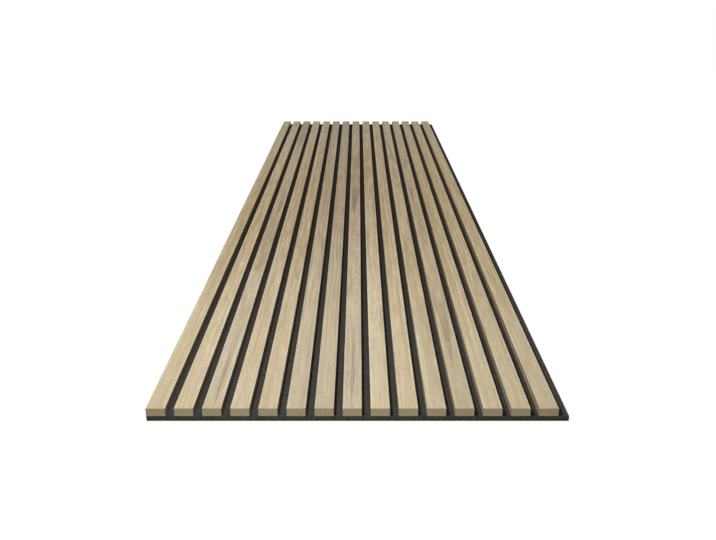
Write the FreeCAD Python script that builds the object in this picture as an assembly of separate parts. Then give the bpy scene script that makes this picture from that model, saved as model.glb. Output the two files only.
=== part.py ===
"""Acoustic slat wall panel: veneered fibreboard slats bonded side by side to a felt backing board.

The panel lies on its back. X runs across the slats, Y along them, and Z up from the felt's back face.
The origin is the middle of the felt's back face. All sizes are in millimetres.
"""

import FreeCAD, Part
import math
import os

# Driving dimensions
panel_length = 2400.0      # slats and felt are sawn off together at both ends
felt_thickness = 8.0
felt_tongue = 15.2         # bare felt past the last slat, where the next panel butts on
slat_count = 15
slat_width = 27.6          # across a finished slat, veneer included
slat_height = 12.0         # from the felt to the finished face
slat_gap = 12.2            # groove between two slats
core_arris_radius = 0.5    # the core's two upper edges are eased, so that the veneer can fold over them
veneer_thickness = 0.6

# Sizes that follow
slat_pitch = slat_width + slat_gap
panel_width = (slat_count - 1) * slat_pitch + slat_width + felt_tongue
core_width = slat_width - 2 * veneer_thickness
core_height = slat_height - veneer_thickness
veneer_arris_radius = core_arris_radius + veneer_thickness
left_edge = -panel_width / 2
near_end = -panel_length / 2


def arch_edges(width, height, radius):
    """An upturned U from its left foot to its right foot, with rounded upper corners.

    It stands on the felt at the panel's near end, centred on x = 0.
    """
    half = width / 2
    top = felt_thickness + height
    shoulder = top - radius
    bend = radius * (1 - math.sqrt(0.5))

    def point(x, z):
        return FreeCAD.Vector(x, near_end, z)

    left_side = Part.LineSegment(point(-half, felt_thickness), point(-half, shoulder))
    left_corner = Part.Arc(point(-half, shoulder), point(bend - half, top - bend), point(radius - half, top))
    face = Part.LineSegment(point(radius - half, top), point(half - radius, top))
    right_corner = Part.Arc(point(half - radius, top), point(half - bend, top - bend), point(half, shoulder))
    right_side = Part.LineSegment(point(half, shoulder), point(half, felt_thickness))
    return [part.toShape() for part in (left_side, left_corner, face, right_corner, right_side)]


def foot_edge(start_x, end_x):
    """A straight edge on the felt between two places across the slat."""
    start = FreeCAD.Vector(start_x, near_end, felt_thickness)
    end = FreeCAD.Vector(end_x, near_end, felt_thickness)
    return Part.LineSegment(start, end).toShape()


def run_full_length(section_edges):
    """The solid that a closed section makes along the whole panel."""
    outline = Part.Wire(Part.__sortEdges__(section_edges))
    return Part.Face(outline).extrude(FreeCAD.Vector(0, panel_length, 0))


def make_core():
    """Fibreboard slat with a flat back and two eased upper edges."""
    half = core_width / 2
    return run_full_length(arch_edges(core_width, core_height, core_arris_radius) + [foot_edge(half, -half)])


def make_veneer():
    """Skin folded over the face and both sides of a core, down to the felt."""
    outer_half = slat_width / 2
    inner_half = core_width / 2
    outside = arch_edges(slat_width, slat_height, veneer_arris_radius)
    inside = arch_edges(core_width, core_height, core_arris_radius)
    feet = [foot_edge(outer_half, inner_half), foot_edge(-inner_half, -outer_half)]
    return run_full_length(outside + inside + feet)


def make_felt():
    """Backing board, flush with the first slat on the left and with every slat's ends."""
    corner = FreeCAD.Vector(left_edge, near_end, 0)
    return Part.makeBox(panel_width, panel_length, felt_thickness, corner)


def slat_centre(index):
    """Middle of a slat across the panel, counted from the left."""
    return left_edge + slat_width / 2 + index * slat_pitch


def build_panel():
    """Every piece of the panel in its place, by name."""
    core = make_core()
    veneer = make_veneer()
    pieces = {"felt_backing": make_felt()}
    for index in range(slat_count):
        place = FreeCAD.Vector(slat_centre(index), 0, 0)
        number = f"{index + 1:02d}"
        pieces[f"slat_core_{number}"] = core.translated(place)
        pieces[f"slat_veneer_{number}"] = veneer.translated(place)
    return pieces


os.makedirs("parts", exist_ok=True)
for name, shape in build_panel().items():
    shape.exportStep(f"parts/{name}.step")
    size = shape.BoundBox
    print(f"{name}: {size.XLength:.2f} x {size.YLength:.2f} x {size.ZLength:.2f} mm, {shape.Volume:.0f} mm3")
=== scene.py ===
"""Finish of an acoustic slat wall panel: oak-veneered fibreboard slats on a needled felt board.

The panel lies on its back, as it is photographed: X across the slats, Y along them, Z up.
All lengths are in metres.
"""

import math

import bmesh
import bpy
from mathutils import Matrix, Vector
from mathutils.noise import noise as unevenness


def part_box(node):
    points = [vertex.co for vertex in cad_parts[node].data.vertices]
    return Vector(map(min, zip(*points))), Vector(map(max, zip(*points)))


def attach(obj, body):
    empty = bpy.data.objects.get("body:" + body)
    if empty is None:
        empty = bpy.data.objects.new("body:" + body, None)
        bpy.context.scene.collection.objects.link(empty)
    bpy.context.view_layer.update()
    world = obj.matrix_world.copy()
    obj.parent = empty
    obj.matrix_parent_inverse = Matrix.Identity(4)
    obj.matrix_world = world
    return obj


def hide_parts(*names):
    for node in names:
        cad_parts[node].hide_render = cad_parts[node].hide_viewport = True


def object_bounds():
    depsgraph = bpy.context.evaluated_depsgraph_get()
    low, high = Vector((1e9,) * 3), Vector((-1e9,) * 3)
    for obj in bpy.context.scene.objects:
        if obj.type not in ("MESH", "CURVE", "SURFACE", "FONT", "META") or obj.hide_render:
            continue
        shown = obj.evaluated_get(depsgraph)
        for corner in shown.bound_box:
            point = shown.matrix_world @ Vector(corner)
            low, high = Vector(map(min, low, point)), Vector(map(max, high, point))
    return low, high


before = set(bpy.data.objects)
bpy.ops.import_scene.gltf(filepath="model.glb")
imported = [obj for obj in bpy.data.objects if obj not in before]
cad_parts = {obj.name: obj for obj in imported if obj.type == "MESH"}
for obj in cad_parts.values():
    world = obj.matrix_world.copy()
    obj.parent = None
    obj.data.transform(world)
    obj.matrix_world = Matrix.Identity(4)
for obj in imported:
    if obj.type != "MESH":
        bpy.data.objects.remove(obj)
cad_low, cad_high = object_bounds()

# Sizes that the solids give
slat_numbers = sorted(name[-2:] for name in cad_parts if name.startswith("slat_veneer_"))
first_slat_low, first_slat_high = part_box(f"slat_veneer_{slat_numbers[0]}")
second_slat_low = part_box(f"slat_veneer_{slat_numbers[1]}")[0]
last_slat_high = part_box(f"slat_veneer_{slat_numbers[-1]}")[1]
first_core_low, first_core_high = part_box(f"slat_core_{slat_numbers[0]}")
felt_low, felt_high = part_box("felt_backing")
slat_width = first_slat_high.x - first_slat_low.x
slat_pitch = second_slat_low.x - first_slat_low.x
slat_gap = slat_pitch - slat_width
slat_top = first_slat_high.z
veneer_thickness = first_core_low.x - first_slat_low.x
near_end = first_slat_low.y
far_end = first_slat_high.y

# Slat shapes
CORE_ARRIS = 0.0005       # radius of the core's two eased upper edges
ARRIS_WEAR = 0.25         # how much sanding changes the veneer's arris radius along a slat, as a share
ARRIS_WEAR_LENGTH = 0.12
SAWN_EDGE = 0.0002        # the saw's sharp edge is broken by this much
SIDE_STEPS = 3
ARRIS_STEPS = 6
FACE_STEPS = 8

# Slats on their flat maps, as shares of the map's height
STRIPS = 7                # what shows of a veneer is cut into this many strips
ROWS_IN_STRIP = 9
STRIPS_TOP = 0.94         # the strips end here, and the surfaces that hardly show follow
INNER_LANE = 0.02
THIN_LANE = 0.01          # a foot or a cut end of the veneer
CORE_END_LANE = 0.43      # one sawn end of a core
CORE_FOOT = 0.95          # the core's underside starts here, after its wrapped surface

# Felt board's shape
FELT_ROWS = 320
GROOVE_STEPS = 8
TONGUE_STEPS = 10
EDGE_STEPS = 3
UNDER_SLAT = 0.0006       # how far the loose felt of a groove goes on below a slat
FELT_BULGE = 0.00012      # the felt rises this much between the slats that press it
FELT_LUMPS = 0.00022
LUMP_LENGTH = 0.011
FELT_EDGE = 0.0004        # radius of a cut edge
FRAYED = 0.00018          # how far a cut side wanders inwards

# Felt board on its flat map, as shares of the map's height
FELT_LENGTHS = 2          # its lanes are cut into this many lengths
SIDE_LANE = 0.0090
PRESSED_LANE = 0.0012
GROOVE_LANE = 0.0115
TONGUE_LANE = 0.0140
END_LANE = 0.0120
FELT_MARGIN = 0.0004

# Flat maps and meshes
BAKE_MAP = "OFBake"       # the flat map of a piece's surface
MAP_MARGIN = 0.002
WELD = 1e-7
CREASE = math.radians(40.0)
QUARTER_TURN = math.radians(90.0)

# A noise's values, which lie about one half
NOISE_MIDDLE = 0.5
MOST_NOISE = (0.3, 0.7)
ALL_NOISE = (0.2, 0.8)

# Oak: marks in a metre of growth and in a metre along the leaf
BROAD_RINGS = (110.0, 0.9)
GROWTH_LINES = (330.0, 6.0)
FINE_LINES = (1100.0, 22.0)

# Oak: marks in a metre across the leaf and in a metre along it
RING_WANDER = (3.0, 2.1)
MOTTLE = (90.0, 9.0)
FLECKS = (700.0, 40.0)
DASHES = (240.0, 11.0)
STREAKS = (640.0, 13.0)
PORES = (3400.0, 130.0)

# Oak: where a leaf lies in its log
LEAF_SPREAD = (9.0, 9.0, 9.0)   # how far apart the leaves lie across and along it
LOG_SPREAD = 50.0         # and how far apart in its growth
CROWN_SHARES = (0.6, 1.4)   # a leaf's crown lies as far aside as its material says, times one of these
RING_DRIFT = 0.005        # how far the rings wander aside
RING_CURVE = 14.0         # how fast the rings follow each other away from the crown
RING_SLANT = 0.004        # how far the cut goes through them in a metre along the leaf

# Oak: tone and figure
RING_SHARE = 0.45         # what broad rings, growth lines and mottle have in a leaf's tone
LINE_SHARE = 0.3
MOTTLE_SHARE = 0.25
TONE_REACH = 0.14
FIGURE = (0.62, 1.70)     # how strong the figure is at the near end, and further on
FIGURE_LENGTH = 0.7
BROWN_FLECKS = (0.50, 0.74)   # a mark's noise where it begins and where it is full
PALE_FLECKS = (0.50, 0.25)
HEART_STREAKS = (0.28, 0.56)
PORE_MOUTHS = (0.66, 0.75)
PORES_IN_LINES = 0.18     # how much the pores keep to the growth lines
BROWN_FLECK_SHARE = 0.30
PORE_SHARE = 0.50

# Oak: flames of heartwood, by the distance past their tips
FLAME_GAUGE = 0.1         # a flame's spread is its half width this far past the tip
FLAME_TIP = (-0.01, 0.04)
FLAME_FADES = (0.08, 0.40)
FLAME_ENDS = (0.12, 0.45)
NO_FLAME = (9.0, 1.0)     # a flame past the end of every leaf

# Oak: shares of the wood's colour
LEAF_TONES = (0.98, 1.02)
FINE_TONES = (0.96, 1.04)
DASH_TONES = (0.84, 1.16)
DASH_REACH = 2.0
PALE_FLECK_TONE = 1.12
ARRIS_SANDED_HIGHLIGHT = 1.10         # the face is paler beside an arris: a painted highlight along it, and partly sanding wear
ARRIS_BAND = (0.0046, 0.0016)   # the paler band begins this far from the arris, and is full from there on
SIDE_PAINTED_SHADE = (0.60, 0.50)   # painted shade: the slats' sides are darker than their faces, and more so further on
SIDE_SHADE_LENGTH = 1.2
SIDE_BEGINS = (-0.0006, 0.0008)
SAWN_TONE = 0.72          # the veneer's cut ends are darker too
SAWN_FACING = (0.6, 0.9)
AMBER = (1.05, 0.985, 0.90, 1.0)   # the wood is tinted warmer in the middle of the panel's length
AMBER_COMES = (-1.15, -0.15)
AMBER_GOES = (0.15, 1.15)
AMBER_LEFT = 0.1

# Oak: surface
OAK_SPECULAR = 0.05
OAK_ROUGHNESS = (0.60, 0.78)
ROUGHNESS_REACH = (0.3, 1.4)
LINE_RELIEF = 0.35
OAK_BUMP = {"Strength": 0.35, "Distance": 0.0001}

# Matted fibres
FIRST_LAY = (1.0, 0.45, 1.0)    # the strands lie two ways
SECOND_LAY = (0.5, 1.1, 0.8)
STRAND_CURL = 1.6
STRAND_HALF_WIDTH = 0.06
LUMPS_TO_STRANDS = 0.35
STRAND_RELIEF = 0.5

# Felt
FELT_CLUMPS = 560.0       # strands in a metre
FELT_HAIRS = 2300.0
DARK_MAT = (0.022, 0.021, 0.0192, 1.0)
PALE_MAT = (0.052, 0.0498, 0.0455, 1.0)
PALE_FIBRE = (0.112, 0.108, 0.099, 1.0)
CLUMP_SHARE = 0.30
HAIR_SHARE = 0.38
CUT_FELT = 1.60           # cut sides are painted paler: painted light, and partly the paler fibre ends that a cut shows
CUT_FACING = (0.3, 0.8)
GROOVE_LIGHT_AND_SHADE = (1.08, 0.72)   # painted light and shade on the upper face in the grooves: lighter at the near end, darker further on
TONGUE_PAINTED_LIGHT = (1.50, 1.10)   # and painted light on the tongue, paler at the near end and less so further on
FELT_PAINTED_LIGHT_LENGTH = 0.8
FELT_ROUGHNESS = 0.95
HAIR_RELIEF = 0.4
FELT_BUMP = {"Strength": 0.6, "Distance": 0.0005}

# Fibreboard
BOARD_STRANDS = 2600.0    # in a metre
DARK_BOARD = (0.515, 0.42, 0.25, 1.0)
PALE_BOARD = (0.62, 0.505, 0.305, 1.0)
BOARD_FIBRE = (0.66, 0.55, 0.35, 1.0)
BOARD_FIBRE_SHARE = 0.3
DENSE_TONE = 0.90         # the sawn end has two darker bands
DENSE_MIDDLE = (0.5, 0.12)  # where a band lies and its half width, as shares of the core's height
DENSE_UPPER = (0.84, 0.16)
BOARD_ROUGHNESS = 0.9
BOARD_SPECULAR = 0.03
BOARD_BUMP = {"Strength": 0.4, "Distance": 0.0002}

# Where the photograph was taken from
LENS = 42.94              # millimetres, on a sensor as wide as the next line says
SENSOR_WIDTH = 36.0
CAMERA_BEFORE_PANEL = 1.0721
CAMERA_HEIGHT = 0.6063
CAMERA_ASIDE = 0.0005
CAMERA_TILT = 19.46       # degrees below the horizon

# Floor and room
FLOOR_HALF_WIDTH = 40.0
FLOOR_BELOW = 0.0002
FLOOR_COLOUR = (0.8, 0.8, 0.8, 1.0)
FLOOR_SEEN = (0.12, 0.12, 0.12, 1.0)   # what the camera sees of the floor's own light and shade
FLOOR_GLOW = (0.93, 1.0)  # what it sees besides: a little less close to the panel, a painted shadow round it
PAINTED_SHADOW_REACH = 0.12
WHITE = (1.0, 1.0, 1.0, 1.0)
SKY_LIGHT = 0.01          # what the white room gives from all sides

# Light: softboxes with their power in watts
SOFTBOXES = {
    "key_softbox": {
        "place": (-0.26, -1.18, 0.78),
        "aim": (0.37, -0.95, 0.0),
        "size": (0.08, 0.85),
        "power": 6.5,
    },
    "overhead_softbox": {
        "place": (0.0, 0.65, 2.0),
        "aim": (0.0, 0.65, 0.0),
        "size": (2.0, 2.9),
        "power": 21.5,
    },
    "side_softbox": {
        "place": (-0.60, 0.80, 1.40),
        "aim": (1.00, 0.80, 0.0),
        "size": (0.25, 2.0),
        "power": 4.3,
    },
    "front_softbox": {
        "place": (0.0, -2.70, 0.60),
        "aim": (0.0, -1.20, 0.0),
        "size": (0.60, 0.40),
        "power": 1.4,
    },
}


# Meshes with flat maps
class Skin:
    """Faces of one piece, each corner with its place on the piece's flat map."""

    def __init__(self):
        self.points = []
        self.faces = []
        self.rounded = []
        self.places = []

    def sheet(self, rows, place):
        """A grid of points. place gives a corner's place on the map from its cell, its row and its step."""
        start = len(self.points)
        steps = len(rows[0])
        for row in rows:
            self.points.extend(row)
        for i in range(len(rows) - 1):
            for j in range(steps - 1):
                corners = [(i, j), (i, j + 1), (i + 1, j + 1), (i + 1, j)]
                self.faces.append([start + a * steps + b for a, b in corners])
                self.rounded.append(True)
                self.places.extend(place(i, j, a, b) for a, b in corners)

    def plate(self, corners, places):
        """One flat face."""
        start = len(self.points)
        self.points.extend(corners)
        self.faces.append(list(range(start, start + len(corners))))
        self.rounded.append(False)
        self.places.extend(places)

    def piece(self, name, material, slot, node):
        """The closed piece that these faces make, in the place of a solid."""
        mesh = bpy.data.meshes.new(name)
        mesh.from_pydata(self.points, [], self.faces)
        layer = mesh.uv_layers.new(name=BAKE_MAP)
        layer.uv.foreach_set("vector", [value for place in self.places for value in place])
        shape = bmesh.new()
        shape.from_mesh(mesh)
        for face, rounded in zip(shape.faces, self.rounded):
            face.smooth = rounded
        bmesh.ops.remove_doubles(shape, verts=shape.verts, dist=WELD)
        bmesh.ops.recalc_face_normals(shape, faces=shape.faces)
        shape.to_mesh(mesh)
        shape.free()
        mesh.set_sharp_from_angle(angle=CREASE)
        mesh.materials.append(material)
        piece = bpy.data.objects.new(name, mesh)
        bpy.context.scene.collection.objects.link(piece)
        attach(piece, "root")
        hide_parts(node)


def band(low, high, share, margin=MAP_MARGIN):
    """A place between two edges of the map, clear of both."""
    return low + margin + (high - low - 2 * margin) * share


def steps_between(start, end, count):
    return [start + (end - start) * i / count for i in range(count + 1)]


def arch(middle, half_width, foot, top, radius):
    """A slat's section as points across and up, from its left foot over the face to its right foot."""
    shoulder = top - radius
    left = [(-half_width, z) for z in steps_between(foot, shoulder, SIDE_STEPS)]
    for step in range(1, ARRIS_STEPS + 1):
        turn = QUARTER_TURN * step / ARRIS_STEPS
        left.append((radius - half_width - radius * math.cos(turn), shoulder + radius * math.sin(turn)))
    face = [(x, top) for x in steps_between(radius - half_width, half_width - radius, FACE_STEPS)[1:-1]]
    right = [(-x, z) for x, z in reversed(left)]
    return [(middle + x, z) for x, z in left + face + right]


def lengths_along(section):
    """How far round a section each of its points lies, as a share of the whole."""
    reached = [0.0]
    for (x0, z0), (x1, z1) in zip(section, section[1:]):
        reached.append(reached[-1] + math.hypot(x1 - x0, z1 - z0))
    return [length / reached[-1] for length in reached]


# Slats
def build_veneer(number, material):
    """A veneer skin, folded over the face and both sides of a core, with an arris on each side that sanding
    has worn.
    """
    low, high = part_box(f"slat_veneer_{number}")
    middle = (low.x + high.x) / 2
    half = (high.x - low.x) / 2
    rows = steps_between(near_end, far_end, STRIPS * ROWS_IN_STRIP)
    rows[1:1] = [near_end + SAWN_EDGE]
    rows[-1:-1] = [far_end - SAWN_EDGE]
    outside = []
    inside = []
    for y in rows:
        worn = unevenness(Vector((middle / ARRIS_WEAR_LENGTH, y / ARRIS_WEAR_LENGTH, 0.0)))
        radius = (CORE_ARRIS + veneer_thickness) * (1.0 + ARRIS_WEAR * worn)
        broken = SAWN_EDGE if y in (near_end, far_end) else 0.0
        outer = arch(middle, half - broken, low.z, high.z - broken, radius)
        inner = arch(middle, half - veneer_thickness, low.z, high.z - veneer_thickness, CORE_ARRIS)
        outside.append([(x, y, z) for x, z in outer])
        inside.append([(x, y, z) for x, z in inner])
    around = lengths_along(arch(middle, half, low.z, high.z, CORE_ARRIS + veneer_thickness))
    strip_length = (far_end - near_end) / STRIPS
    strip_height = STRIPS_TOP / STRIPS
    last_row = len(rows) - 1

    def on_strip(cell_row, cell_step, row, step):
        strip = min(int((rows[cell_row] - near_end) / strip_length + WELD), STRIPS - 1)
        share = (rows[row] - near_end) / strip_length - strip
        return band(0.0, 1.0, share), band(strip * strip_height, (strip + 1) * strip_height, around[step])

    def on_inside(cell_row, cell_step, row, step):
        return band(0.0, 1.0, row / last_row), band(STRIPS_TOP, STRIPS_TOP + INNER_LANE, around[step])

    def thin_lane(index, share):
        """A place across one of the lanes for feet and cut ends."""
        low_edge = STRIPS_TOP + INNER_LANE + index * THIN_LANE
        return band(low_edge, low_edge + THIN_LANE, share)

    def on_foot(index):
        return lambda cell_row, cell_step, row, step: (band(0.0, 1.0, row / last_row), thin_lane(index, step))

    def on_cut(index):
        return lambda cell_row, cell_step, row, step: (band(0.0, 1.0, around[step]), thin_lane(index, row))

    skin = Skin()
    skin.sheet(outside, on_strip)
    skin.sheet(inside, on_inside)
    skin.sheet([[outer[0], inner[0]] for outer, inner in zip(outside, inside)], on_foot(0))
    skin.sheet([[outer[-1], inner[-1]] for outer, inner in zip(outside, inside)], on_foot(1))
    skin.sheet([outside[0], inside[0]], on_cut(2))
    skin.sheet([outside[-1], inside[-1]], on_cut(3))
    skin.piece(f"oak_veneer_{number}", material, "oak_veneer", f"slat_veneer_{number}")


def build_core(number, material):
    """A fibreboard core. Only its two sawn ends show, so they have most of its map."""
    low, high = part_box(f"slat_core_{number}")
    middle = (low.x + high.x) / 2
    half = (high.x - low.x) / 2
    section = arch(middle, half, low.z, high.z, CORE_ARRIS)
    around = lengths_along(section)
    ends = (low.y, high.y)
    skin = Skin()
    for end, y in enumerate(ends):
        low_edge = end * CORE_END_LANE
        places = [
            (
                band(0.0, 1.0, (x - low.x) / (high.x - low.x)),
                band(low_edge, low_edge + CORE_END_LANE, (z - low.z) / (high.z - low.z)),
            )
            for x, z in section
        ]
        skin.plate([(x, y, z) for x, z in section], places)

    def on_lane(low_edge, high_edge, shares):
        return lambda cell_row, cell_step, row, step: (
            band(0.0, 1.0, row),
            band(low_edge, high_edge, shares[step]),
        )

    wrapped = [[(x, y, z) for x, z in section] for y in ends]
    underside = [[row[0], row[-1]] for row in wrapped]
    skin.sheet(wrapped, on_lane(2 * CORE_END_LANE, CORE_FOOT, around))
    skin.sheet(underside, on_lane(CORE_FOOT, 1.0, (0.0, 1.0)))
    skin.piece(f"fibreboard_core_{number}", material, "fibreboard", f"slat_core_{number}")


# Felt board
def felt_side():
    """A cut side from the back to the upper face: each point's distance in from the side, and its height."""
    turns = [QUARTER_TURN * step / EDGE_STEPS for step in range(EDGE_STEPS + 1)]
    lower = [(FELT_EDGE * (1.0 - math.sin(turn)), FELT_EDGE * (1.0 - math.cos(turn))) for turn in turns]
    upper = [(inset, felt_high.z - height) for inset, height in reversed(lower)]
    return lower + upper


def loose_felt(start, end, steps):
    """Upper face between two places across the board, loosest half way."""
    shares = steps_between(0.0, 1.0, steps)
    return [(start + (end - start) * share, felt_high.z, math.sin(math.pi * share)) for share in shares]


def felt_runs():
    """The board's section from its left side over the upper face to its right side, in runs.

    Each run has its lane's height on the map, and points with their place across, height and looseness.
    """
    runs = [(SIDE_LANE, [(felt_low.x + inset, z, 0.0) for inset, z in felt_side()])]
    edge = felt_low.x + FELT_EDGE
    for index in range(len(slat_numbers)):
        slat_right = first_slat_low.x + index * slat_pitch + slat_width - UNDER_SLAT
        next_slat = slat_right + slat_gap + 2 * UNDER_SLAT
        runs.append((PRESSED_LANE, [(edge, felt_high.z, 0.0), (slat_right, felt_high.z, 0.0)]))
        if index < len(slat_numbers) - 1:
            runs.append((GROOVE_LANE, loose_felt(slat_right, next_slat, GROOVE_STEPS)))
        edge = next_slat
    runs.append((TONGUE_LANE, loose_felt(slat_right, felt_high.x - FELT_EDGE, TONGUE_STEPS)))
    runs.append((SIDE_LANE, [(felt_high.x - inset, z, 0.0) for inset, z in reversed(felt_side())]))
    return runs


def felt_section(loop, y, inset):
    """The board's section at one place along it, drawn in all round by an inset."""
    row = []
    for x, z, looseness in loop:
        lump = unevenness(Vector((x, y, 0.0)) / LUMP_LENGTH)
        rise = looseness * (FELT_BULGE + FELT_LUMPS * lump)
        fray = 0.5 + 0.5 * unevenness(Vector((x, y, z)) / LUMP_LENGTH)
        frayed = FRAYED * fray * (1.0 - inset / FELT_EDGE)
        x = min(max(x, felt_low.x + inset + frayed), felt_high.x - inset - frayed)
        z = min(max(z + rise, felt_low.z + inset), felt_high.z + rise - inset)
        row.append((x, y, z))
    return row


def build_felt(material):
    """The felt board: loose and uneven in the grooves and on the tongue, pressed flat below the slats."""
    runs = felt_runs()
    loop = list(runs[0][1])
    lanes = []
    reached = 0.0
    for lane, points in runs:
        first = len(loop) - 1 if lanes else 0
        if lanes:
            loop.extend(points[1:])
        lengths = 1 if lane == PRESSED_LANE else FELT_LENGTHS
        lanes.extend([(reached, lane, lengths, first, len(loop) - 1)] * (len(points) - 1))
        reached += lane * lengths
    turns = [QUARTER_TURN * step / EDGE_STEPS for step in range(EDGE_STEPS)]
    drawn_in = [(FELT_EDGE * (1.0 - math.cos(turn)), FELT_EDGE * (1.0 - math.sin(turn))) for turn in turns]
    places = [(felt_low.y + y, inset) for y, inset in drawn_in]
    places += [(y, 0.0) for y in steps_between(felt_low.y + FELT_EDGE, felt_high.y - FELT_EDGE, FELT_ROWS)]
    places += [(felt_high.y - y, inset) for y, inset in reversed(drawn_in)]
    rows = [felt_section(loop, y, inset) for y, inset in places]
    count = len(rows) - 1
    back_low = reached + 2 * END_LANE
    back_lane = (1.0 - back_low) / FELT_LENGTHS

    def along(cell_row, row, lengths):
        """Which length of a lane a face lies in, and how far along that length a corner is."""
        length = cell_row * lengths // count
        return length, band(0.0, 1.0, row * lengths / count - length)

    def on_lane(cell_row, cell_step, row, step):
        low, lane, lengths, first, last = lanes[cell_step]
        length, u = along(cell_row, row, lengths)
        low += length * lane
        return u, band(low, low + lane, (step - first) / (last - first), FELT_MARGIN)

    def on_back(cell_row, cell_step, row, step):
        length, u = along(cell_row, row, FELT_LENGTHS)
        low = back_low + length * back_lane
        return u, band(low, low + back_lane, step, FELT_MARGIN)

    def on_end(end, x, z):
        low = reached + end * END_LANE
        u = band(0.0, 1.0, (x - felt_low.x) / (felt_high.x - felt_low.x))
        return u, band(low, low + END_LANE, z / felt_high.z, FELT_MARGIN)

    skin = Skin()
    skin.sheet(rows, on_lane)
    skin.sheet([[row[0], row[-1]] for row in rows], on_back)
    for end, row in enumerate((rows[0], rows[-1])):
        skin.plate(row, [on_end(end, x, z) for x, y, z in row])
    skin.piece("felt_board", material, "felt", "felt_backing")


# Shader nodes
def put(tree, kind, inputs=None, **settings):
    """A node with its settings. Its inputs are plain values or other nodes' outputs."""
    node = tree.nodes.new(kind)
    for name, value in settings.items():
        setattr(node, name, value)
    for key, value in (inputs or {}).items():
        if isinstance(value, bpy.types.NodeSocket):
            tree.links.new(value, node.inputs[key])
        else:
            node.inputs[key].default_value = value
    return node


def give(tree, receiver, values):
    """Links outputs to a node's named inputs."""
    for name, value in values.items():
        tree.links.new(value, receiver[name])


def maths(tree, operation, first, second=0.0):
    return put(tree, "ShaderNodeMath", {0: first, 1: second}, operation=operation).outputs[0]


def product(tree, first, *others):
    for other in others:
        first = maths(tree, "MULTIPLY", first, other)
    return first


def total(tree, first, *others):
    for other in others:
        first = maths(tree, "ADD", first, other)
    return first


def difference(tree, first, second):
    return maths(tree, "SUBTRACT", first, second)


def distance(tree, first, second):
    return maths(tree, "ABSOLUTE", difference(tree, first, second))


def remap(tree, value, low, high, new_low=0.0, new_high=1.0, smooth=True):
    """A value's stretch from low to high, laid over another stretch and held at its ends."""
    kind = "SMOOTHSTEP" if smooth else "LINEAR"
    inputs = {"Value": value, "From Min": low, "From Max": high, "To Min": new_low, "To Max": new_high}
    return put(tree, "ShaderNodeMapRange", inputs, interpolation_type=kind).outputs["Result"]


def from_one(tree, mask, shade):
    """1 where a mask is 0, and a shade where it is 1."""
    return remap(tree, mask, 0.0, 1.0, 1.0, shade, smooth=False)


def noise(tree, vector, detail=2.0, roughness=0.5, distortion=0.0, scale=1.0):
    inputs = {
        "Vector": vector,
        "Scale": scale,
        "Detail": detail,
        "Roughness": roughness,
        "Distortion": distortion,
    }
    return put(tree, "ShaderNodeTexNoise", inputs).outputs[0]


def vector_maths(tree, operation, first, second):
    return put(tree, "ShaderNodeVectorMath", {0: first, 1: second}, operation=operation).outputs[0]


def stretch(tree, vector, scale):
    return vector_maths(tree, "MULTIPLY", vector, scale)


def split(tree, vector):
    return put(tree, "ShaderNodeSeparateXYZ", {0: vector}).outputs


def combine(tree, x, y, z):
    return put(tree, "ShaderNodeCombineXYZ", {"X": x, "Y": y, "Z": z}).outputs[0]


def mix_colours(tree, share, first, second, blend="MIX"):
    node = put(tree, "ShaderNodeMix", {0: share, 6: first, 7: second}, data_type="RGBA", blend_type=blend)
    return node.outputs[2]


def shaded(tree, colour, shade):
    """A colour made lighter or darker by a value."""
    return mix_colours(tree, 1.0, colour, combine(tree, shade, shade, shade), "MULTIPLY")


def new_group(name, inputs, outputs):
    """An empty shader group with named sockets, its input node and its output node."""
    tree = bpy.data.node_groups.new(name, "ShaderNodeTree")
    for socket_name, kind in inputs.items():
        tree.interface.new_socket(name=socket_name, in_out="INPUT", socket_type=f"NodeSocket{kind}")
    for socket_name, kind in outputs.items():
        tree.interface.new_socket(name=socket_name, in_out="OUTPUT", socket_type=f"NodeSocket{kind}")
    given = tree.nodes.new("NodeGroupInput").outputs
    result = tree.nodes.new("NodeGroupOutput").inputs
    return tree, given, result


def place_group(tree, group, inputs):
    """A shader group set into a material with the values that suit it."""
    return put(tree, "ShaderNodeGroup", inputs, node_tree=group).outputs


def new_material(name, plain):
    """A material with one surface shader, whose plain values are set on its own sockets."""
    material = bpy.data.materials.new(name)
    material.use_nodes = True
    tree = material.node_tree
    surface = tree.nodes["Principled BSDF"].inputs
    for socket_name, value in plain.items():
        surface[socket_name].default_value = value
    position = tree.nodes.new("ShaderNodeTexCoord").outputs["Object"]
    return material, tree, surface, position


def facing(tree, axis):
    """How far the surface faces along an axis: 1 along it, and -1 the other way."""
    normal = put(tree, "ShaderNodeTexCoord").outputs["Normal"]
    return split(tree, normal)[axis]


def raise_surface(tree, surface, height, bump):
    """Relief on a surface."""
    give(tree, surface, {"Normal": put(tree, "ShaderNodeBump", {**bump, "Height": height}).outputs[0]})


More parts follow.
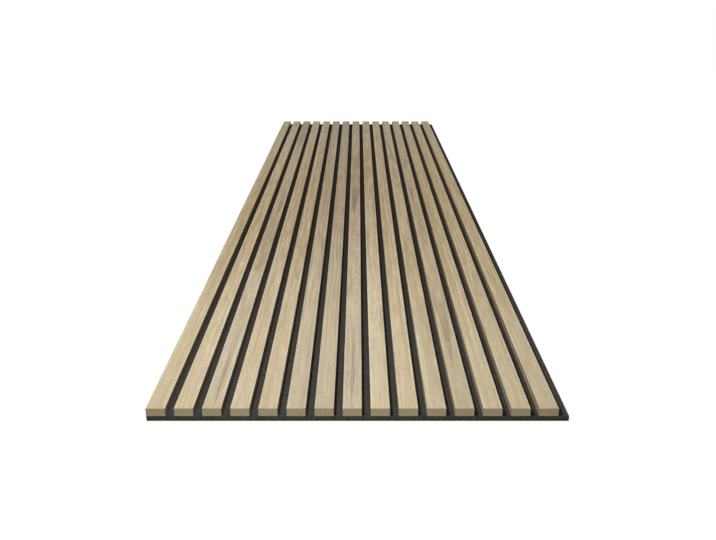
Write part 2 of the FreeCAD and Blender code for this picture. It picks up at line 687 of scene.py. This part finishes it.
# Veneer
def make_leaf_group():
    """Places on a veneer leaf: across it, over a slat's face and down its sides, and along it.

    Every slat has a leaf of its own, taken from another place in the log.
    """
    tree, given, result = new_group(
        "veneer_leaf",
        {"Position": "Vector"},
        {
            "Leaf": "Vector",
            "Across": "Float",
            "Along": "Float",
            "Log": "Vector",
            "Arris": "Float",
            "Side": "Float",
        },
    )
    place = split(tree, given["Position"])
    from_left = difference(tree, place["X"], first_slat_low.x - slat_gap / 2)
    number = maths(tree, "FLOOR", maths(tree, "DIVIDE", from_left, slat_pitch))
    middle = product(tree, total(tree, number, 0.5), slat_pitch)
    from_middle = difference(tree, from_left, middle)
    down_side = difference(tree, slat_top, place["Z"])
    folded = product(tree, maths(tree, "SIGN", from_middle), down_side)
    across = total(tree, from_middle, folded)
    past_arris = difference(tree, maths(tree, "ABSOLUTE", across), slat_width / 2)
    log = put(tree, "ShaderNodeTexWhiteNoise", {"W": number}, noise_dimensions="1D").outputs["Color"]
    leaf = vector_maths(tree, "ADD", combine(tree, across, place["Y"], 0.0), stretch(tree, log, LEAF_SPREAD))
    side = remap(tree, past_arris, *SIDE_BEGINS)
    sanded_and_highlit = remap(tree, maths(tree, "ABSOLUTE", past_arris), *reversed(ARRIS_BAND), 1.0, 0.0)
    outputs = {
        "Leaf": leaf,
        "Across": across,
        "Along": place["Y"],
        "Log": log,
        "Arris": product(tree, sanded_and_highlit, difference(tree, 1.0, side)),
        "Side": side,
    }
    give(tree, result, outputs)
    return tree


def make_oak_group(leaf_group):
    """Oak grain: growth rings cut lengthwise, with tone bands, flames of heartwood, flecks and pores."""
    tree, given, result = new_group(
        "oak_grain",
        {
            "Position": "Vector",
            "Pale wood": "Color",
            "Warm wood": "Color",
            "Heartwood": "Color",
            "Crown": "Float",
            "First flame": "Float",
            "First spread": "Float",
            "Second flame": "Float",
            "Second spread": "Float",
            "Flames": "Float",
            "Sawn": "Float",
        },
        {"Color": "Color", "Relief": "Float", "Roughness": "Float"},
    )
    leaf = place_group(tree, leaf_group, {"Position": given["Position"]})
    along = leaf["Along"]
    log = split(tree, leaf["Log"])

    def short_grain(marks, detail=2.0, roughness=0.6):
        """Short uneven marks that lie along the leaf."""
        return noise(tree, stretch(tree, leaf["Leaf"], (*marks, 1.0)), detail, roughness)

    wander = short_grain(RING_WANDER, roughness=0.5)
    drift = remap(tree, wander, *ALL_NOISE, -RING_DRIFT, RING_DRIFT, smooth=False)
    crown_share = remap(tree, log["X"], 0.0, 1.0, *CROWN_SHARES, smooth=False)
    aside = difference(tree, leaf["Across"], product(tree, given["Crown"], crown_share))
    from_crown = total(tree, aside, drift)
    growth = product(tree, from_crown, from_crown, RING_CURVE)
    ring = difference(tree, growth, product(tree, along, RING_SLANT))
    log_shift = product(tree, log["Y"], LOG_SPREAD)

    def rings(marks, detail):
        """Uneven growth lines, which change slowly along the leaf."""
        in_growth, in_length = marks
        vector = combine(tree, product(tree, ring, in_growth), product(tree, along, in_length), log_shift)
        return noise(tree, vector, detail, 0.55)

    broad = rings(BROAD_RINGS, 1.0)
    lines = rings(GROWTH_LINES, 2.0)
    fine = rings(FINE_LINES, 2.0)
    mottle = short_grain(MOTTLE)
    flecks = short_grain(FLECKS)
    dashes = short_grain(DASHES)
    warmth = total(
        tree,
        product(tree, broad, RING_SHARE),
        product(tree, lines, LINE_SHARE),
        product(tree, mottle, MOTTLE_SHARE),
    )
    figure = remap(tree, along, near_end, near_end + FIGURE_LENGTH, *FIGURE)
    warmer = product(tree, difference(tree, warmth, NOISE_MIDDLE), figure)
    tone_share = remap(tree, warmer, -TONE_REACH, TONE_REACH)
    tone = mix_colours(tree, tone_share, given["Pale wood"], given["Warm wood"])
    dash = product(tree, remap(tree, dashes, *MOST_NOISE, 1.0, -1.0, smooth=False), figure)

    def flame(start, spread):
        """The dark tip of a growth cone and its two legs."""
        past_tip = difference(tree, along, start)
        widths = maths(tree, "DIVIDE", from_crown, spread)
        inside = difference(tree, past_tip, product(tree, widths, widths, FLAME_GAUGE))
        risen = remap(tree, inside, *FLAME_TIP)
        fading = remap(tree, inside, *FLAME_FADES, 1.0, 0.0)
        ending = remap(tree, past_tip, *FLAME_ENDS, 1.0, 0.0)
        return product(tree, risen, fading, ending)

    first = flame(given["First flame"], given["First spread"])
    second = flame(given["Second flame"], given["Second spread"])
    streaks = remap(tree, short_grain(STREAKS, 3.0), *HEART_STREAKS)
    heart = product(tree, maths(tree, "MAXIMUM", first, second), streaks, given["Flames"])
    hearted = mix_colours(tree, heart, tone, given["Heartwood"])

    brown = product(tree, remap(tree, flecks, *BROWN_FLECKS), BROWN_FLECK_SHARE)
    flecked = mix_colours(tree, brown, hearted, given["Heartwood"])
    pore_places = short_grain(PORES, 1.0, 0.5)
    pores = remap(tree, total(tree, pore_places, product(tree, lines, PORES_IN_LINES)), *PORE_MOUTHS)
    pored = mix_colours(tree, product(tree, pores, PORE_SHARE), flecked, given["Heartwood"])

    side_painted_shade = remap(tree, along, near_end, near_end + SIDE_SHADE_LENGTH, *SIDE_PAINTED_SHADE, smooth=False)
    shade = product(
        tree,
        remap(tree, log["Z"], 0.0, 1.0, *LEAF_TONES, smooth=False),
        remap(tree, fine, *MOST_NOISE, *FINE_TONES, smooth=False),
        remap(tree, flecks, *reversed(PALE_FLECKS), PALE_FLECK_TONE, 1.0, smooth=False),
        remap(tree, dash, -DASH_REACH, DASH_REACH, *DASH_TONES, smooth=False),
        # painted highlight beside each arris, partly sanding wear
        from_one(tree, leaf["Arris"], ARRIS_SANDED_HIGHLIGHT),
        # painted shade on the slats' sides, deeper further along the panel
        from_one(tree, leaf["Side"], side_painted_shade),
        from_one(tree, given["Sawn"], SAWN_TONE),
    )
    amber = product(tree, remap(tree, along, *AMBER_COMES), remap(tree, along, *AMBER_GOES, 1.0, AMBER_LEFT))
    oiled = mix_colours(tree, amber, shaded(tree, pored, shade), AMBER, "MULTIPLY")
    outputs = {
        "Color": oiled,
        "Relief": difference(tree, product(tree, fine, LINE_RELIEF), pores),
        "Roughness": remap(tree, total(tree, fine, pores), *ROUGHNESS_REACH, *OAK_ROUGHNESS, smooth=False),
    }
    give(tree, result, outputs)
    return tree


def make_veneer(name, oak_group, leaf):
    """Oak veneer with a matt oil finish."""
    material, tree, surface, position = new_material(name, {"Specular IOR Level": OAK_SPECULAR})
    sawn = remap(tree, maths(tree, "ABSOLUTE", facing(tree, "Y")), *SAWN_FACING)
    grain = place_group(tree, oak_group, {"Position": position, "Sawn": sawn, **leaf})
    give(tree, surface, {"Base Color": grain["Color"], "Roughness": grain["Roughness"]})
    raise_surface(tree, surface, grain["Relief"], OAK_BUMP)
    return material


# Fibreboard and felt
def make_fibre_group():
    """Matted fibres without direction: pale strands over the mat, and soft lumps in it."""
    tree, given, result = new_group(
        "matted_fibres",
        {"Position": "Vector", "Strands per metre": "Float"},
        {"Strands": "Float", "Lumps": "Float", "Relief": "Float"},
    )
    sizes = {0: given["Position"], "Scale": given["Strands per metre"]}
    scaled = put(tree, "ShaderNodeVectorMath", sizes, operation="SCALE").outputs[0]

    def strands(lay):
        """Thin lines that curl, where a twisted noise passes its middle."""
        twisted = noise(tree, stretch(tree, scaled, lay), 2.0, 0.6, STRAND_CURL)
        return remap(tree, distance(tree, twisted, NOISE_MIDDLE), 0.0, STRAND_HALF_WIDTH, 1.0, 0.0)

    both = maths(tree, "MAXIMUM", strands(FIRST_LAY), strands(SECOND_LAY))
    lumps = noise(tree, scaled, 3.0, 0.6, scale=LUMPS_TO_STRANDS)
    relief = total(tree, product(tree, both, STRAND_RELIEF), lumps)
    give(tree, result, {"Strands": both, "Lumps": lumps, "Relief": relief})
    return tree


def make_felt(fibre_group):
    """Needled polyester felt, dark grey with paler fibres caught in it."""
    plain = {"Roughness": FELT_ROUGHNESS, "Specular IOR Level": 0.0}
    material, tree, surface, position = new_material("charcoal_felt", plain)
    clumps = place_group(tree, fibre_group, {"Position": position, "Strands per metre": FELT_CLUMPS})
    hairs = place_group(tree, fibre_group, {"Position": position, "Strands per metre": FELT_HAIRS})
    mat = mix_colours(tree, remap(tree, clumps["Lumps"], *MOST_NOISE), DARK_MAT, PALE_MAT)
    tufted = mix_colours(tree, product(tree, clumps["Strands"], CLUMP_SHARE), mat, PALE_FIBRE)
    matted = mix_colours(tree, product(tree, hairs["Strands"], HAIR_SHARE), tufted, PALE_FIBRE)
    upward = facing(tree, "Z")
    # painted light on the cut sides, partly their paler fibre ends
    cut = remap(tree, maths(tree, "ABSOLUTE", upward), *CUT_FACING, CUT_FELT, 1.0)
    place = split(tree, position)
    length = (near_end, near_end + FELT_PAINTED_LIGHT_LENGTH)
    # painted light and shade on the upper face: lighter at the near end and on the tongue, darker in the
    # grooves further along
    groove_light_and_shade = remap(tree, place["Y"], *length, *GROOVE_LIGHT_AND_SHADE, smooth=False)
    tongue_painted_light = remap(tree, place["Y"], *length, *TONGUE_PAINTED_LIGHT, smooth=False)
    on_tongue = maths(tree, "GREATER_THAN", place["X"], last_slat_high.x)
    upper_light_and_shade = remap(tree, on_tongue, 0.0, 1.0, groove_light_and_shade, tongue_painted_light, smooth=False)
    upper = from_one(tree, remap(tree, upward, *CUT_FACING), upper_light_and_shade)
    give(tree, surface, {"Base Color": shaded(tree, matted, product(tree, cut, upper))})
    relief = total(tree, clumps["Relief"], product(tree, hairs["Relief"], HAIR_RELIEF))
    raise_surface(tree, surface, relief, FELT_BUMP)
    return material


def make_fibreboard(fibre_group):
    """Bare sawn fibreboard, which shows only at the slats' ends."""
    plain = {"Roughness": BOARD_ROUGHNESS, "Specular IOR Level": BOARD_SPECULAR}
    material, tree, surface, position = new_material("sawn_fibreboard", plain)
    fibres = place_group(tree, fibre_group, {"Position": position, "Strands per metre": BOARD_STRANDS})
    board = mix_colours(tree, remap(tree, fibres["Lumps"], *MOST_NOISE), DARK_BOARD, PALE_BOARD)
    fuzzy = mix_colours(tree, product(tree, fibres["Strands"], BOARD_FIBRE_SHARE), board, BOARD_FIBRE)
    height = split(tree, position)["Z"]
    level = remap(tree, height, first_core_low.z, first_core_high.z, smooth=False)

    def dense_band(place, half_width):
        return remap(tree, distance(tree, level, place), 0.0, half_width, 1.0, 0.0)

    denser = total(tree, dense_band(*DENSE_MIDDLE), dense_band(*DENSE_UPPER))
    give(tree, surface, {"Base Color": shaded(tree, fuzzy, from_one(tree, denser, DENSE_TONE))})
    raise_surface(tree, surface, fibres["Relief"], BOARD_BUMP)
    return material


# Studio
def camera_sees(tree):
    """1 where the camera looks, straight or by way of a reflection or a pane, and 0 for other light."""
    path = tree.nodes.new("ShaderNodeLightPath").outputs
    straight_or_mirrored = maths(tree, "MAXIMUM", path["Is Camera Ray"], path["Is Glossy Ray"])
    return maths(tree, "MAXIMUM", straight_or_mirrored, path["Is Transmission Ray"])


def make_floor():
    """A pale floor under the panel, white to the camera, with a faint shadow close to the panel: partly cast,
    and partly painted by a dimmer glow there.
    """
    half = FLOOR_HALF_WIDTH
    corners = [(-half, -half), (half, -half), (half, half), (-half, half)]
    mesh = bpy.data.meshes.new("floor")
    mesh.from_pydata([(x, y, -FLOOR_BELOW) for x, y in corners], [], [(0, 1, 2, 3)])
    floor = bpy.data.objects.new("floor", mesh)
    bpy.context.scene.collection.objects.link(floor)
    plain = {"Roughness": 1.0, "Specular IOR Level": 0.0, "Emission Color": WHITE}
    material, tree, surface, position = new_material("pale_floor", plain)
    seen = camera_sees(tree)
    folded = put(tree, "ShaderNodeVectorMath", {0: position}, operation="ABSOLUTE").outputs[0]
    past = vector_maths(tree, "SUBTRACT", folded, cad_high)
    outside = vector_maths(tree, "MAXIMUM", past, (0.0, 0.0, 0.0))
    away = put(tree, "ShaderNodeVectorMath", {0: outside}, operation="LENGTH").outputs["Value"]
    looks = {
        "Base Color": mix_colours(tree, seen, FLOOR_COLOUR, FLOOR_SEEN),
        "Emission Strength": product(tree, seen, remap(tree, away, 0.0, PAINTED_SHADOW_REACH, *FLOOR_GLOW)),
    }
    give(tree, surface, looks)
    mesh.materials.append(material)


def make_room():
    """A white room: soft light from all sides, and white behind the floor."""
    world = bpy.data.worlds.new("white_room")
    bpy.context.scene.world = world
    world.use_nodes = True
    tree = world.node_tree
    background = tree.nodes["Background"].inputs
    background["Color"].default_value = WHITE
    strength = remap(tree, camera_sees(tree), 0.0, 1.0, SKY_LIGHT, 1.0, smooth=False)
    give(tree, background, {"Strength": strength})


def make_softbox(name, place, aim, size, power):
    """A rectangular softbox that faces a point on the panel, its second side along the slats."""
    data = bpy.data.lights.new(name, "AREA")
    data.shape = "RECTANGLE"
    data.size, data.size_y = size
    data.energy = power
    light = bpy.data.objects.new(name, data)
    bpy.context.scene.collection.objects.link(light)
    back = (Vector(place) - Vector(aim)).normalized()
    across = Vector((0.0, 1.0, 0.0)).cross(back).normalized()
    along = back.cross(across)
    turn = Matrix((across, along, back)).transposed().to_4x4()
    light.matrix_world = Matrix.Translation(place) @ turn


def make_camera():
    """The photograph's place and lens, square to the panel's near end."""
    data = bpy.data.cameras.new("photo_camera")
    data.sensor_width = SENSOR_WIDTH
    data.lens = LENS
    camera = bpy.data.objects.new("photo_camera", data)
    bpy.context.scene.collection.objects.link(camera)
    camera.location = (CAMERA_ASIDE, cad_low.y - CAMERA_BEFORE_PANEL, CAMERA_HEIGHT)
    camera.rotation_euler = (math.radians(90.0 - CAMERA_TILT), 0.0, 0.0)
    bpy.context.scene.camera = camera


# Leaves
def wood(pale, warm, heartwood):
    """A leaf's colours: between its growth lines, in them, and at its heart."""
    return {"Pale wood": (*pale, 1.0), "Warm wood": (*warm, 1.0), "Heartwood": (*heartwood, 1.0)}


def heart(crown, first, second, strength):
    """Where a leaf's heart lies across it, two flames and their strength.

    A flame is the place of its tip along the panel, and its spread.
    """
    first_flame, first_spread = first
    second_flame, second_spread = second
    return {
        "Crown": crown,
        "First flame": first_flame,
        "First spread": first_spread,
        "Second flame": second_flame,
        "Second spread": second_spread,
        "Flames": strength,
    }


def dress_panel():
    """Every piece of the panel in its finish."""
    oak = make_oak_group(make_leaf_group())
    fibres = make_fibre_group()
    oiled = wood(pale=(0.694, 0.595, 0.422), warm=(0.541, 0.440, 0.278), heartwood=(0.41, 0.30, 0.195))
    bright = wood(pale=(0.735, 0.626, 0.433), warm=(0.581, 0.471, 0.288), heartwood=(0.43, 0.32, 0.205))
    tan = wood(pale=(0.648, 0.554, 0.388), warm=(0.507, 0.412, 0.260), heartwood=(0.40, 0.285, 0.19))
    dull = wood(pale=(0.625, 0.543, 0.386), warm=(0.488, 0.403, 0.264), heartwood=(0.35, 0.245, 0.19))
    straight = heart(0.08, NO_FLAME, NO_FLAME, 0.0)
    plain_oak = make_veneer("oiled_oak", oak, {**oiled, **straight})
    bright_oak = make_veneer("bright_oak", oak, {**bright, **straight})
    dull_oak = make_veneer("dull_oak", oak, {**dull, **straight})
    flamed = {
        "03": {**dull, **heart(0.002, (-1.20, 0.0030), (-0.20, 0.0040), 0.75)},
        "08": {**dull, **heart(0.0, (-1.20, 0.0024), (-0.20, 0.0050), 1.0)},
        "09": {**oiled, **heart(-0.0085, (-0.63, 0.0016), NO_FLAME, 0.5)},
        "11": {**oiled, **heart(0.0115, (-0.47, 0.0024), NO_FLAME, 0.75)},
        "12": {**tan, **heart(-0.001, (-1.07, 0.0050), (-0.10, 0.0050), 0.80)},
    }
    fibreboard = make_fibreboard(fibres)
    for number in slat_numbers:
        if number in flamed:
            veneer = make_veneer(f"flamed_oak_{number}", oak, flamed[number])
        # brighter leaves: on slats 01, 14 and 15 they are painted light that evens out the lamps' fall-off
        # towards the panel's sides; on the others they are the leaves' own tone
        elif number in ("01", "02", "10", "13", "14", "15"):
            veneer = bright_oak
        elif number in ("06", "07"):
            veneer = dull_oak
        else:
            veneer = plain_oak
        build_veneer(number, veneer)
        build_core(number, fibreboard)
    build_felt(make_felt(fibres))


bpy.context.scene.view_settings.view_transform = "Standard"
dress_panel()
make_floor()
make_room()
for softbox_name, softbox in SOFTBOXES.items():
    make_softbox(softbox_name, **softbox)
make_camera()
